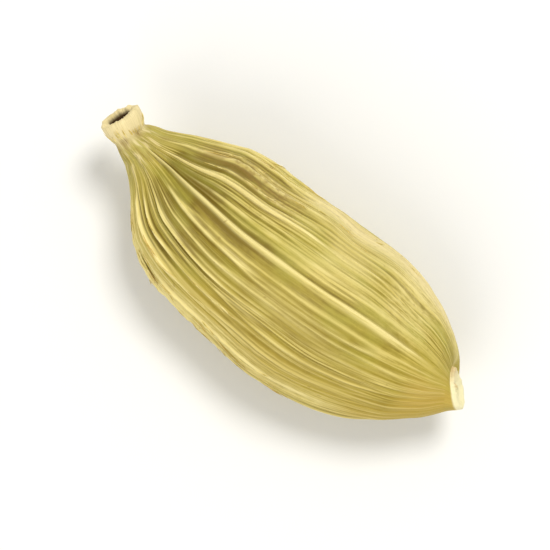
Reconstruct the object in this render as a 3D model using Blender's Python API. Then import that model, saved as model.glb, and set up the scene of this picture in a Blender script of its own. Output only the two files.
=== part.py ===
"""Dried green cardamom pod, lying on its side: stalk end at -X, tip at +X, +Z up, metres.

The pod is one closed skin. Rings of points stand square to a bowed centre line, from the floor of
the hollow stalk, over its rim, along the ribbed body and into the scar at the tip.
"""

import math
import random

import bmesh
import bpy
from mathutils import Vector

# Stations along the pod, from the cut end of the stalk to the foot of the tip scar:
# distance along X, sideways place of the centre along Y, lift of the centre along Z, radius
STATIONS = (
    (-0.00030, -0.00005, 0.00108, 0.00100),
    (0.00065, -0.00042, 0.00070, 0.00094),
    (0.00160, -0.00050, 0.00042, 0.00125),
    (0.00300, -0.00064, 0.00016, 0.00224),
    (0.00500, -0.00098, 0.00002, 0.00356),
    (0.00800, -0.00134, 0.00000, 0.00404),
    (0.01200, -0.00132, 0.00000, 0.00436),
    (0.01500, -0.00106, 0.00000, 0.00416),
    (0.01800, -0.00062, 0.00004, 0.00314),
    (0.01930, -0.00040, 0.00012, 0.00230),
    (0.02000, -0.00022, 0.00023, 0.00170),
    (0.02034, -0.00008, 0.00034, 0.00128),
)

# Cross section: a circle pulled out to three blunt corners, one of them on top, and pressed a little.
# The corners come up along the body's start and fade along its end.
CORNER_SHARE = 0.080
HEIGHT_SHARE = 0.93
BODY_START = 0.0020
BODY_FULL = 0.0070
BODY_FADE = 0.0165
BODY_END = 0.0205

# Ribs that run from the neck to the tip, sharpest on the shoulder beside the neck; low ones start
# later. Each has a column of points on its crest and one on either side, so many rib steps away.
RIB_COUNT = 34
COLUMNS_PER_RIB = 3
RIB_SIDE = 0.27
RIB_HEIGHT = 0.00022
RIB_WIDTH = 0.15
RIB_START = 0.0016
RIB_DELAY = 0.0016
RIB_RISE = 0.0020
RIB_EASE = 0.0080
RIB_EASED = 0.0135
RIB_EASED_SHARE = 0.30
RIB_FADE = 0.0165
RIB_END = 0.0198

# Ribs of the upper side in turn, from the +Y side over the top ridge to the -Y side:
# how far each stands from its even place, in rib steps, and its share of the rib height
UPPER_RIBS = (
    (0.10, 0.40),
    (-0.20, 0.95),
    (0.26, 0.35),
    (0.36, 1.10),
    (0.10, 0.25),
    (-0.10, 0.30),
    (0.00, 1.50),
    (0.40, 0.50),
    (0.28, 0.25),
    (0.20, 1.10),
    (-0.19, 0.40),
    (-0.20, 0.80),
    (0.30, 1.00),
    (0.20, 0.40),
    (0.00, 1.00),
)
RIDGE_PLACE = 6

# The other ribs are drawn at random
RIB_SEED = 7
RIB_JITTER = 0.22
RIB_LEAST_SHARE = 0.28

# The ribs turn about the centre line towards the neck, where those of the upper +Y side also draw
# together to the top ridge: place along X, spread, angle
RIDGE_ANGLE = math.radians(81.0)
NECK_TURN = (0.0030, 0.0060, math.radians(3.4))
NECK_FAN = (0.0025, 0.0036, math.radians(14.0))

# Soft dents and swellings of the dried wall: share of the height, waves over the length,
# waves round the pod, phase
LUMP_HEIGHT = 0.00005
LUMP_LENGTH = 0.0052
LUMP_WAVES = (
    (1.0, 1.0, 2.0, 0.0),
    (0.6, 0.61, -3.0, 1.3),
)

# Pinch and bulge of the +Y edge: place along X, angle round the pod, their spreads, height
EDGE_LUMPS = (
    (0.0123, math.radians(12.0), 0.0011, math.radians(22.0), -0.00018),
    (0.0152, math.radians(8.0), 0.0017, math.radians(26.0), 0.00014),
)

# Hollow cut end of the stalk, from its floor over the rim: depth below the cut, radius
STALK_PROFILE = (
    (0.00090, 0.00044),
    (0.00050, 0.00057),
    (0.00000, 0.00069),
    (-0.00008, 0.00084),
)

# Pale scar at the tip, a low ring with a dimple, turned further to +Y than the tip itself and set
# towards -Y on its end, from the body outwards: height, radius, share of the turn and the shift
SCAR_TURN = math.radians(26.0)
SCAR_SHIFT = -0.00030
SCAR_PROFILE = (
    (0.00006, 0.00117, 0.45),
    (0.00015, 0.00103, 1.00),
    (0.00028, 0.00105, 1.00),
    (0.00039, 0.00095, 1.00),
    (0.00036, 0.00082, 1.00),
    (0.00021, 0.00056, 1.00),
)

# Both ends are a little out of round: share of the radius, waves round the ring, phase
END_WAVES = (
    (0.030, 3.0, 0.8),
    (0.020, 5.0, 2.1),
)

# The pod rests on a small flat spot, pressed this far into its belly
SPOT_DEPTH = 0.00016
SPOT_RIB_SHARE = 0.30
SPOT_HALF_ANGLE = math.radians(30.0)

BODY_ROWS = 37
SKIN_COLOR = (0.48, 0.40, 0.10, 1.0)
SKIN_ROUGHNESS = 0.55
SHARP_EDGE = math.radians(70.0)

X, Y, Z, RADIUS = range(4)
UP = Vector((0.0, 0.0, 1.0))
COLUMNS = RIB_COUNT * COLUMNS_PER_RIB


def clear_scene():
    for old in list(bpy.data.objects):
        bpy.data.objects.remove(old, do_unlink=True)


def ease(start, end, value):
    """0 before start, 1 after end, and smooth between them."""
    share = min(max((value - start) / (end - start), 0.0), 1.0)
    return share * share * (3.0 - 2.0 * share)


def slope(index, column):
    """Slope of one column of the stations at a station, from its neighbours."""
    before = STATIONS[max(index - 1, 0)]
    after = STATIONS[min(index + 1, len(STATIONS) - 1)]
    return (after[column] - before[column]) / (after[X] - before[X])


def read_station(x, column):
    """Smooth curve through one column of the stations, and its slope."""
    index = 0
    while index < len(STATIONS) - 2 and x > STATIONS[index + 1][X]:
        index += 1
    low, high = STATIONS[index], STATIONS[index + 1]
    span = high[X] - low[X]
    t = (x - low[X]) / span
    m0 = slope(index, column) * span
    m1 = slope(index + 1, column) * span
    a = 2.0 * low[column] - 2.0 * high[column] + m0 + m1
    b = 3.0 * high[column] - 3.0 * low[column] - 2.0 * m0 - m1
    value = ((a * t + b) * t + m0) * t + low[column]
    return value, ((3.0 * a * t + 2.0 * b) * t + m0) / span


def frame_at(x):
    """Centre of the pod at x, with the directions along it, towards +Y and up."""
    y, y_slope = read_station(x, Y)
    z, z_slope = read_station(x, Z)
    along = Vector((1.0, y_slope, z_slope)).normalized()
    side = UP.cross(along).normalized()
    return Vector((x, y, z)), along, side, along.cross(side)


def make_ribs():
    """Shift of each rib from its even place and its height, from the top ridge round the pod."""
    draw = random.Random(RIB_SEED)
    ribs = []
    for step in range(RIB_COUNT):
        shift = draw.uniform(-RIB_JITTER, RIB_JITTER)
        share = RIB_LEAST_SHARE ** draw.random()
        place = (step + RIDGE_PLACE) % RIB_COUNT
        if place < len(UPPER_RIBS):
            shift, share = UPPER_RIBS[place]
        ribs.append((shift, RIB_HEIGHT * share))
    return ribs


def rib_angle(step, x):
    """Angle round the pod of a place counted in rib steps from the top ridge."""
    even = 2.0 * math.pi * step / RIB_COUNT
    place, spread, turn = NECK_TURN
    turn *= math.exp(-((x - place) / spread) ** 2)
    place, spread, fan = NECK_FAN
    fan *= math.exp(-((x - place) / spread) ** 2)
    fan *= 2.0 * max(-math.sin(even), 0.0) * max(math.cos(even), 0.0)
    return RIDGE_ANGLE + even + turn + fan


def length_share(height, x):
    """How much of a rib's height stands at x; strong ribs keep more of it along the tip half."""
    strength = height / RIB_HEIGHT
    start = RIB_START + RIB_DELAY * (1.0 - strength)
    eased = RIB_EASED_SHARE * max(strength, 1.0) ** 2
    share = ease(start, start + RIB_RISE, x) * (1.0 - ease(RIB_FADE, RIB_END, x))
    return share * (1.0 - (1.0 - eased) * ease(RIB_EASE, RIB_EASED, x))


def relief(offset, height, angle, x):
    """Height of the skin near a rib whose crest is offset rib steps away."""
    crest = height * math.exp(-((offset / RIB_WIDTH) ** 2))
    from_belly = math.remainder(angle - 1.5 * math.pi, 2.0 * math.pi)
    belly = math.exp(-((from_belly / SPOT_HALF_ANGLE) ** 2))
    return crest * length_share(height, x) * (1.0 - (1.0 - SPOT_RIB_SHARE) * belly)


def body_share(x):
    """0 at the neck and at the tip, 1 along the body."""
    return ease(BODY_START, BODY_FULL, x) * (1.0 - ease(BODY_FADE, BODY_END, x))


def lumps(angle, x):
    """Swelling and sinking of the wall between neck and tip."""
    turn = 2.0 * math.pi * x / LUMP_LENGTH
    wave = 0.0
    for share, along, around, phase in LUMP_WAVES:
        wave += share * math.sin(along * turn + around * angle + phase)
    height = LUMP_HEIGHT * wave * body_share(x)
    for place, middle, length, spread, edge_height in EDGE_LUMPS:
        off = math.remainder(angle - middle, 2.0 * math.pi)
        height += edge_height * math.exp(-((x - place) / length) ** 2 - (off / spread) ** 2)
    return height


def body_ring(x, ribs):
    """Ring of skin points round the centre line at x."""
    centre, _, side, up = frame_at(x)
    radius, _ = read_station(x, RADIUS)
    corner = CORNER_SHARE * body_share(x)
    points = []
    for column in range(COLUMNS):
        rib, part = divmod(column + 1, COLUMNS_PER_RIB)
        offset = (part - 1) * RIB_SIDE
        shift, height = ribs[rib % RIB_COUNT]
        angle = rib_angle(rib + shift + offset, x)
        pull = 1.0 + corner * math.cos(3.0 * (angle - 0.5 * math.pi))
        reach = radius * pull + relief(offset, height, angle, x) + lumps(angle, x)
        points.append(centre + side * reach * math.cos(angle) + up * reach * HEIGHT_SHARE * math.sin(angle))
    return points


def end_ring(x, out, radius, turn=0.0, shift=0.0):
    """Nearly round ring at x, shifted and turned towards +Y, then moved out the way it faces."""
    centre, along, side, up = frame_at(x)
    facing = along * math.cos(turn) + side * math.sin(turn)
    centre = centre + side * shift + facing * out
    side = up.cross(facing)
    points = []
    for column in range(COLUMNS):
        angle = rib_angle((column - 1) / COLUMNS_PER_RIB, x)
        wave = sum(share * math.sin(around * angle + phase) for share, around, phase in END_WAVES)
        reach = radius * (1.0 + wave)
        points.append(centre + side * reach * math.cos(angle) + up * reach * HEIGHT_SHARE * math.sin(angle))
    return points


def stalk_rings():
    first = STATIONS[0][X]
    return [end_ring(first, depth, radius) for depth, radius in STALK_PROFILE]


def scar_rings():
    last = STATIONS[-1][X]
    rings = []
    for height, radius, share in SCAR_PROFILE:
        rings.append(end_ring(last, height, radius, SCAR_TURN * share, SCAR_SHIFT * share))
    return rings


def row_places():
    """X of each body ring: closer together towards the two ends."""
    first, last = STATIONS[0][X], STATIONS[-1][X]
    middle, half = 0.5 * (first + last), 0.5 * (last - first)
    places = []
    for row in range(BODY_ROWS):
        even = 2.0 * row / (BODY_ROWS - 1) - 1.0
        crowded = math.sin(0.5 * math.pi * even)
        places.append(middle + 0.5 * half * (even + crowded))
    return places


def seat(rings):
    """Press the flat spot, then put the origin at the bottom centre of the box round the pod."""
    points = [point for ring in rings for point in ring]
    floor = min(point.z for point in points) + SPOT_DEPTH
    for point in points:
        point.z = max(point.z, floor)
    low_x, high_x = min(p.x for p in points), max(p.x for p in points)
    low_y, high_y = min(p.y for p in points), max(p.y for p in points)
    origin = Vector((0.5 * (low_x + high_x), 0.5 * (low_y + high_y), floor))
    for point in points:
        point -= origin


def close_end(mesh, ring):
    """Fan of faces from one middle point to a ring."""
    middle = mesh.verts.new(sum((vert.co for vert in ring), Vector()) / len(ring))
    for index, vert in enumerate(ring):
        mesh.faces.new((middle, vert, ring[(index + 1) % len(ring)]))


def skin_mesh(rings):
    """Closed mesh over all the rings."""
    mesh = bmesh.new()
    rows = [[mesh.verts.new(point) for point in ring] for ring in rings]
    for row, after in zip(rows, rows[1:]):
        for index in range(COLUMNS):
            beside = (index + 1) % COLUMNS
            mesh.faces.new((row[index], row[beside], after[beside], after[index]))
    close_end(mesh, rows[0])
    close_end(mesh, rows[-1])
    bmesh.ops.recalc_face_normals(mesh, faces=mesh.faces)
    data = bpy.data.meshes.new("cardamom_pod")
    mesh.to_mesh(data)
    mesh.free()
    data.shade_smooth()
    data.set_sharp_from_angle(angle=SHARP_EDGE)
    return data


def skin_material():
    material = bpy.data.materials.new("pod_skin")
    material.use_nodes = True
    shader = material.node_tree.nodes["Principled BSDF"]
    shader.inputs["Base Color"].default_value = SKIN_COLOR
    shader.inputs["Roughness"].default_value = SKIN_ROUGHNESS
    shader.inputs["Metallic"].default_value = 0.0
    return material


def build_pod():
    ribs = make_ribs()
    rings = stalk_rings()
    rings += [body_ring(x, ribs) for x in row_places()]
    rings += scar_rings()
    seat(rings)
    data = skin_mesh(rings)
    data.materials.append(skin_material())
    pod = bpy.data.objects.new("cardamom_pod", data)
    bpy.context.scene.collection.objects.link(pod)
    return pod


clear_scene()
build_pod()
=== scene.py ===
"""Looks of a dried green cardamom pod, lying on its side: stalk end at -X, tip at +X, +Z up.

One fine skin stands for the pod. It follows the same centre line, section and ribs as the solid,
on a finer grid, and adds what is too fine for it: veins between the ribs, wrinkles, frayed crests,
the fibrous stalk rim and the lip of the scar. Slivers of dry husk lie on it.
Lengths are in millimetres until the skin is brought into the solid's box, in metres.
"""

import math
import random

import bmesh
import bpy
import numpy as np
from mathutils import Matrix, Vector


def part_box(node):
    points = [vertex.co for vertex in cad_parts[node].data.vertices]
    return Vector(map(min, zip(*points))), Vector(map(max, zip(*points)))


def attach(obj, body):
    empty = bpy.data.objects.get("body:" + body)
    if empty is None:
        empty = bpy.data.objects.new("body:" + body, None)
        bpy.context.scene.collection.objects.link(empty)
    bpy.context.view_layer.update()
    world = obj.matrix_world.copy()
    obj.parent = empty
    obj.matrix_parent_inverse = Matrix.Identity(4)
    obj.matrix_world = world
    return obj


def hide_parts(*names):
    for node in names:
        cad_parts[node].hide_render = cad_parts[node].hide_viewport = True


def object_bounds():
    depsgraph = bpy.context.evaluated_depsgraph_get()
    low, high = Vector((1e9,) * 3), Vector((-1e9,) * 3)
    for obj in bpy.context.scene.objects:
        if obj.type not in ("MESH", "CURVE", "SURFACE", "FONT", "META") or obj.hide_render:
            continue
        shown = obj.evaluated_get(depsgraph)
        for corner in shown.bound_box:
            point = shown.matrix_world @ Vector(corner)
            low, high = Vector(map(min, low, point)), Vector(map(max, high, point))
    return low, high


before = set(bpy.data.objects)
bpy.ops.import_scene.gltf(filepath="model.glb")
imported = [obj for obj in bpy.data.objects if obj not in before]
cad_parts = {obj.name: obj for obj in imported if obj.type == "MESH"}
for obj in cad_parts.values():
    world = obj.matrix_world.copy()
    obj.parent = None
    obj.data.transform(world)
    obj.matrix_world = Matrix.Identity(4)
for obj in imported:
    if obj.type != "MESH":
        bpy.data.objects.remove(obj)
CAD_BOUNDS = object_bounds()

MM = 0.001
NODE = "cardamom_pod"

# Stations from the cut end of the stalk to the foot of the tip scar: place along X, sideways place of
# the centre along Y, its lift along Z, radius
STATIONS = np.array((
    (-0.30, -0.05, 1.08, 1.00),
    (0.65, -0.42, 0.70, 0.94),
    (1.60, -0.50, 0.42, 1.25),
    (3.00, -0.64, 0.16, 2.24),
    (5.00, -0.98, 0.02, 3.56),
    (8.00, -1.34, 0.00, 4.04),
    (12.00, -1.32, 0.00, 4.36),
    (15.00, -1.06, 0.00, 4.16),
    (18.00, -0.62, 0.04, 3.14),
    (19.30, -0.40, 0.12, 2.30),
    (20.00, -0.22, 0.23, 1.70),
    (20.34, -0.08, 0.34, 1.28),
))
X, Y, Z, RADIUS = range(4)
FIRST_X = STATIONS[0, X]
LAST_X = STATIONS[-1, X]

# Cross section: a circle pulled out to three blunt corners, one of them on top, and pressed a little
CORNER_SHARE = 0.080
HEIGHT_SHARE = 0.93
BODY_BAND = (2.0, 7.0, 16.5, 20.5)

# Main ribs, each a low swelling with a narrow crest; low ones start later. Widths are in rib steps.
RIB_COUNT = 34
RIB_HEIGHT = 0.22
SWELL_SHARE, SWELL_WIDTH = 0.24, 0.30
CREST_WIDTH = 0.105
RIB_START, RIB_DELAY, RIB_RISE = 1.6, 1.6, 2.0
RIB_EASE, RIB_EASED, RIB_EASED_SHARE = 8.0, 13.5, 0.30
RIB_FADE, RIB_END = 16.5, 19.8

# Ribs of the upper side in turn, from the +Y side over the top ridge to the -Y side:
# how far each stands from its even place, in rib steps, and its share of the rib height
UPPER_RIBS = (
    (0.10, 0.40), (-0.20, 0.95), (0.26, 0.35), (0.36, 1.10), (0.10, 0.25),
    (-0.10, 0.30), (0.00, 1.50), (0.40, 0.50), (0.28, 0.25), (0.20, 1.10),
    (-0.19, 0.40), (-0.20, 0.80), (0.30, 1.00), (0.20, 0.40), (0.00, 1.00),
)
RIDGE_PLACE, RIB_SEED = 6, 7
RIB_JITTER, RIB_LEAST = 0.22, 0.28

# Stretch along the pod where a rib stands out, by its place above, and how much paler its crest is
# there. Its soft edges are measured from its start, twice, and from its end, twice.
RIB_STRETCHES = {
    3: (2.2, 10.5, 0.95), 7: (4.0, 8.3, 0.00), 9: (4.0, 10.2, 0.25),
    11: (3.4, 5.6, 0.15), 12: (2.8, 6.8, 0.35), 14: (6.8, 16.0, 0.60),
}
RIB_OUTSIDE = 0.35
STRETCH_EDGES = (-0.6, 0.4, -0.8, 1.2)
PALER_EDGES = (-0.6, 0.4, -2.5, 0.2)
PALER_WIDENING = 0.6

# How each rib varies along the pod: share, length and first seed of a noise
RIB_MEANDER = (0.030, 3.2, 100)
RIB_SWELLS = ((0.22, 2.2, 200), (0.10, 0.50, 250))
RIB_WIDTHS = (0.25, 2.7, 300)
CREST_BREAKS = ((0.55, 0.9, 400), (0.25, 0.3, 450))
CREST_LEVEL, CREST_LEAST = 0.80, 0.25
CREST_SHARPNESS, CREST_MASK = 1.15, 0.12

# Weaker ribs sink in places: noise, its range, where this begins and is full
RIB_SINKS, SINK_SPARED = (1.0, 3.1, 500), 0.6
SINK_RANGE, SINK_STRETCH = (-0.15, 0.55), (8.0, 11.0)

# Bold ribs, from one share of the rib height to another, are straighter, narrower and unbroken
BOLD_SHARES, BOLD_CREST = (1.2, 1.5), 1.1
BOLD_SWELL_LOSS, BOLD_WIDTH_LOSS, BOLD_BROAD_LOSS = 0.6, 0.25, 0.7

# Even skin: middle and spread in rib steps from the top ridge, where it begins and is full
CALM_PLACE, CALM_SPREAD, CALM_STRETCH = 2.4, 2.6, (5.5, 9.5)
CALM_RELIEF, CALM_CONTRAST = 0.30, 0.40

# Troughs on both sides of each rib: share of its height, distance and width in rib steps
TROUGH_SHARE, TROUGH_PLACE, TROUGH_WIDTH = 0.22, 0.28, 0.12
TROUGH_LOSS, TROUGH_STRETCH = 0.8, (5.5, 9.0)

# The ribs turn about the centre line towards the neck, where those of the upper +Y side also draw
# together to the top ridge: place along the pod, spread, angle
RIDGE_ANGLE = math.radians(81.0)
NECK_TURN = (3.0, 6.0, math.radians(3.4))
NECK_FAN = (2.5, 3.6, math.radians(14.0))

# Veins that branch off the ribs on both sides and run on between them, in rib steps
VEIN_OFFSETS, VEIN_JITTER = (-0.36, 0.36), 0.10
VEIN_LEAST, VEIN_MOST, VEIN_RIDGE = 0.015, 0.070, 0.2
VEIN_WIDTH, VEIN_SHARPNESS = 0.100, 1.4
VEIN_MEANDER, VEIN_SWELL = (0.04, 3.6, 1000), (0.7, 2.0, 1500)
VEIN_LEVEL, VEIN_SEED, VEIN_SEED_STEP = 0.9, 11, 10

# Limits of a vein's start and end, its soft edges, how soon it leaves its rib, and its way back
VEIN_STARTS, VEIN_ENDS = (2.6, 9.0), (16.2, 18.8)
VEIN_EDGES, VEIN_LEAVING = (0.0, 1.5, -1.0, 1.0), 3.0
VEIN_RETURN, RETURN_START, RETURN_END = 0.7, -2.5, 1.0

# Grid of the fine skin, whose rows lie closer together towards both ends
RIB_COLUMNS = 14
COLUMNS = RIB_COUNT * RIB_COLUMNS
BODY_ROWS = 154
EVEN_ROWS = 0.62

# Noise over the skin in layers: share or height, length along the pod, cells per rib step, seed
STREAKS = ((0.012, 3.4, 3, 21),)
CREASES = ((1.0, 0.38, 2, 23), (0.6, 0.30, 4, 24))
PATCHES = ((1.0, 2.6, 0.5, 25),)
DENTS = ((1.0, 1.5, 0.5, 26), (0.5, 0.8, 1, 28))
FRAYS = ((1.0, 0.30, 1, 27),)
FLUTES = ((1.0, 1.5, 0.5, 29),)
LINES = ((1.0, 6.5, 2, 61),)
LINE_SHARES = ((0.50, 2.4, 1, 63),)
FIBRE_SHARES = ((1.1, 2.6, RIB_COLUMNS, 72),)

# Where the fine forms begin, are full, fade and end along the pod
LIVELY_BAND = (1.0, 3.0, 18.5, 20.5)
FIBRE_BAND = (0.5, 1.2, 18.8, 20.3)
FLUTE_BAND = (0.7, 1.3, 2.2, 4.0)

# Thin lines that meet and part: half width in cells of their noise, and their share at the neck
LINE_HALF_WIDTH, LINE_HEIGHT, LINE_LEVEL = 0.28, 0.022, 0.60
LINE_AT_NECK, LINE_STRETCH = 0.45, (4.0, 9.0)

# Straight fibres on the columns of the grid: greatest height, the power that leaves few of them
# strong, their shares on their own column and the next ones, and at the neck
FIBRE_HEIGHT, FIBRE_POWER, FIBRE_LEVEL, FIBRE_SEED = 0.050, 2.5, 0.6, 71
FIBRE_OWN, FIBRE_BESIDE = 0.7, 0.15
FIBRE_AT_NECK, FIBRE_STRETCH = 1.7, (2.5, 4.5)

# Heights of the other fine forms, and the wrinkles' shares of theirs: everywhere, on the soft patch,
# in patches by their noise, on the wrinkled side
FLUTE_HEIGHT, WRINKLE_HEIGHT, DENT_HEIGHT, FRAY_HEIGHT = 0.070, 0.008, 0.012, 0.045
WRINKLE_SHARES, PATCH_RANGE = (0.5, -0.4, 1.1, 1.6), (0.0, 0.7)

# How far the fine forms count in the painted shade and highlight of the skin and in its crests
WRINKLE_SHADE = 0.8
VEIN_CREST, LINE_CREST, FIBRE_CREST = 0.35, 0.22, 0.45

# Valleys are read against the mean beside them, for the painted shade in them and the painted highlight
# on the crests: columns each way, height that counts full
CAVITY_SIZES = ((RIB_COLUMNS // 2, 0.15), (2, 0.05))

# Places on the skin: share, angle and spread round the pod in degrees, and where along the pod it
# begins, is full, fades and ends
PAST_TIP = (30.0, 31.0)
# A soft pale patch of painted highlight on the upper +Y side, also less wrinkled.
HIGHLIGHT_PATCH = (1.0, 51.0, 13.0, 11.0, 12.2, 13.3, 15.0)
WRINKLED_SIDE = (1.0, 36.0, 16.0, 2.5, 4.0, 8.0, 10.0)
FRAYED_SIDE = (1.0, 184.0, 22.0, 2.5, 4.0, 10.0, 13.5)
WARM_SIDE = (1.0, 145.0, 38.0, 6.0, 9.0, *PAST_TIP)
CREAM_RIM = (0.65, 6.0, 13.0, 8.5, 10.5, 18.6, 19.8)
PALE_TIP_SIDE = (0.6, 52.0, 22.0, 15.0, 16.0, 17.5, 18.5)
PALE_EDGES = (
    (1.0, 8.0, 7.0, 7.5, 9.5, 14.5, 16.0),
    (1.0, 10.0, 20.0, 14.5, 16.5, *PAST_TIP),
    (1.0, 168.0, 7.0, 6.5, 8.0, 14.5, 17.0),
    (1.0, 186.0, 14.0, 2.0, 4.0, 7.0, 9.0),
)
# Places darkened with painted shade; the one with a share below 0 is painted light on the -Y side near the
# neck.
PAINTED_SHADE_PLACES = (
    (0.8, 78.0, 50.0, 2.0, 3.0, 5.5, 9.0),
    (-0.9, 160.0, 26.0, 2.0, 3.5, 8.0, 12.0),
    (0.75, 108.0, 28.0, 6.5, 8.5, 15.0, 18.0),
    (0.45, 113.0, 17.0, 2.3, 3.3, 6.5, 9.0),
    (0.75, 132.0, 25.0, 16.0, 18.0, *PAST_TIP),
    (0.25, 128.0, 30.0, 8.0, 10.0, 15.0, 17.0),
    (0.55, 42.0, 24.0, 18.3, 19.6, *PAST_TIP),
)
BLUSHING_PLACES = (
    (1.0, 122.0, 34.0, 17.8, 19.2, *PAST_TIP),
    (0.6, 170.0, 17.0, 15.5, 17.5, *PAST_TIP),
)

# The side beside the ridge has less contrast, and past a stretch it loses twice as much
EVEN_SIDE = (1.0, 100.0, 22.0, 4.5, 6.0, 16.0, 18.0)
EVEN_LOSS, EVEN_STRETCH = 0.32, (8.0, 13.0)

# Smooth valleys near the neck, darkened with painted shade: angle at one place along the pod, degrees
# that they turn per mm, then as above
VALLEY_X, VALLEY_LOSS, VALLEY_PAINTED_SHADE = 3.0, 0.75, 2.3
DARK_VALLEYS = (
    (77.0, -1.0, 5.5, 2.3, 3.2, 4.8, 6.5),
    (61.0, -5.5, 5.0, 2.3, 3.0, 5.2, 6.4),
)

# Painted shade all round the neck, where the neck's colours end, and shares of the brown painted shade
# in the dimples and on the wrinkled side and of the pale frays
NECK_PAINTED_SHADE, NECK_PAINTED_SHADE_BAND = 0.1, (2.0, 3.0, 5.5, 9.0)
NECK_FADE, CREAM_FADE = (1.2, 2.8), (0.1, 1.0)
DIMPLE_SHADE, WRINKLED_SIDE_SHADE, FRAYED_PALE = 1.2, 0.8, 0.5

# Soft dents and swellings: share of the height, waves over the length, waves round the pod, phase
LUMP_HEIGHT, LUMP_LENGTH = 0.05, 5.2
LUMP_WAVES = ((1.0, 1.0, 2.0, 0.0), (0.6, 0.61, -3.0, 1.3))

# Pinch and bulge of the +Y edge: place along the pod, angle round it in degrees, their spreads, height
EDGE_LUMPS = ((12.3, 12.0, 1.1, 22.0, -0.18), (15.2, 8.0, 1.7, 26.0, 0.14))

# Collar at the cut end of the stalk, and the groove at its foot, whose depth varies round it
COLLAR_X, COLLAR_LENGTH, COLLAR_HEIGHT, COLLAR_FADE = -0.05, 0.38, 0.06, (0.3, 0.8)
GROOVE_X, GROOVE_LENGTH, GROOVE_DEPTH = 0.62, 0.17, 0.045
GROOVE_WAVE = (0.7, 0.5, 2.0, 0.6)

# Dimples in the groove: angles and spread in degrees, length, greatest shift along the pod, depth
DIMPLE_ANGLES, DIMPLE_SPREAD = (62.0, 118.0, 171.0, 232.0, 286.0, 350.0), 16.0
DIMPLE_LENGTH, DIMPLE_SHIFT, DIMPLE_DEPTH = 0.19, 0.08, 0.085

# Slivers of husk. The peeled strip's route: place along the pod, lift off the skin, half width
PEELED_STRIP = (
    (4.6, -0.05, 0.05), (5.2, 0.02, 0.10), (5.8, 0.04, 0.13),
    (6.4, 0.12, 0.10), (6.9, 0.30, 0.00),
)
PEELED_ANGLE = 178.0
SLIVER_THICKNESS, SLIVER_LEAST, SLIVER_FLOOR_GAP = 0.016, 0.006, 0.25
SLIVER_ROWS, SLIVER_SIDES, SLIVER_SEED = 6, 8, 5

# The skin's slope under a sliver is read over so many rows and columns each way
SLOPE_REACH = 3

# Frayed places: angle and spread in degrees, stretch along the pod, how many fibres
FRAYED_PLACES = (
    (184.0, 14.0, 3.0, 13.0, 46), (150.0, 20.0, 3.5, 10.0, 12), (36.0, 14.0, 3.0, 9.0, 14),
    (5.0, 20.0, 5.0, 16.0, 16), (270.0, 60.0, 3.0, 16.0, 16),
)
STALK_FIBRES, STALK_FOOT = 26, 0.50

# How far fibres stand off a crest, in columns, and off their even places round the stalk, in shares.
# Limits of their length, half width, lean in columns and lift of the tip.
CREST_OFF, STALK_OFF = 1.5, 0.3
FRAYED_LIMITS = ((0.5, 1.6), (0.020, 0.045), (-3.0, 3.0), (0.02, 0.10))
STALK_LIMITS = ((0.30, 0.68), (0.025, 0.05), (-4.0, 4.0), (0.01, 0.06))

# Routes of the fibres: shares of the length and of the lean, lift, shares of the tip's lift and of
# the half width
FRAYED_ROUTE = (
    (0.0, 0.0, -0.03, 0.0, 0.4), (0.3, 0.0, 0.00, 0.0, 1.0),
    (0.7, 0.4, 0.02, 0.0, 0.8), (1.0, 1.0, 0.00, 1.0, 0.0),
)
STALK_ROUTE = (
    (0.0, 0.0, -0.03, 0.0, 0.5),
    (-0.5, 0.4, 0.01, 0.0, 1.0),
    (-1.0, 1.0, 0.00, 1.0, 0.0),
)

# Hollow cut end of the stalk, from the body over the rim to its floor: depth below the cut, radius
STALK_PROFILE = (
    (0.00, 1.03), (-0.07, 1.00), (-0.11, 0.91), (-0.11, 0.80),
    (-0.06, 0.71), (0.06, 0.64), (0.28, 0.60), (0.55, 0.54),
    (0.78, 0.47), (0.90, 0.34), (0.93, 0.14),
)
STALK_ROWS, STALK_SEED = 22, 31
STALK_RAGGED, STALK_RIM, RIM_LENGTH = 0.060, -0.05, 0.12
HOLLOW_DEPTHS = (-0.06, 0.16)

# Pale scar at the tip, from the body outwards: height, radius. It is turned further to +Y than the
# tip and set towards -Y.
SCAR_PROFILE = (
    (0.00, 1.28), (0.05, 1.19), (0.10, 1.09), (0.15, 1.03), (0.22, 1.05),
    (0.33, 1.04), (0.39, 0.97), (0.38, 0.87), (0.29, 0.75), (0.22, 0.60),
    (0.19, 0.44), (0.22, 0.28), (0.31, 0.17), (0.32, 0.06),
)
SCAR_ROWS, SCAR_SEED = 34, 41
SCAR_TURN, SCAR_SHIFT = math.radians(26.0), -0.30

# Heights over which its turn and shift, its roughness, its pale colour and its darker face come in
# and the blush of the tip ends
SCAR_TURNED = (0.0, 0.13)
SCAR_RAGGED, RAGGED_HEIGHTS = 0.022, (0.15, 0.35)
PALE_HEIGHTS, BLUSH_HEIGHTS = (0.11, 0.18), (0.10, 0.18)
FACE_HEIGHTS, FACE_ANGLE, FACE_SPREAD = (0.12, 0.2), 25.0, 48.0

# The scar's foot is rounded into the body over so many rows each way, in so many rounds
FOOT_ROWS, FOOT_ROUNDS = 9, 14

# Both ends are a little out of round: share of the radius, waves round the ring, phase. Their noise
# in layers: share, length in rows, cells per rib step, seed after the end's own.
END_WAVES = ((0.030, 3.0, 0.8), (0.020, 5.0, 2.1))
END_LAYERS = ((1.0, 9.0, 0.5, 0), (0.6, 7.0, 2, 1), (0.5, 12.0, 5, 2))
END_REACH = 0.4

# The underside is pressed flat this deep, and its ribs are worn there: angle and spread in degrees
SPOT_DEPTH, SPOT_RIB_SHARE, SPOT_ANGLE, SPOT_SPREAD = 0.16, 0.30, 270.0, 30.0

# The grain's coordinates run along the pod and round a circle of this radius
GRAIN_RADIUS = 4.0

# The photograph looks straight down; the pod's length runs this far below its horizontal
PICTURE_TURN = math.radians(38.6)
FRAME_WIDTH = 26.5 * MM
LENS, SENSOR = 200.0, 36.0

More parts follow.
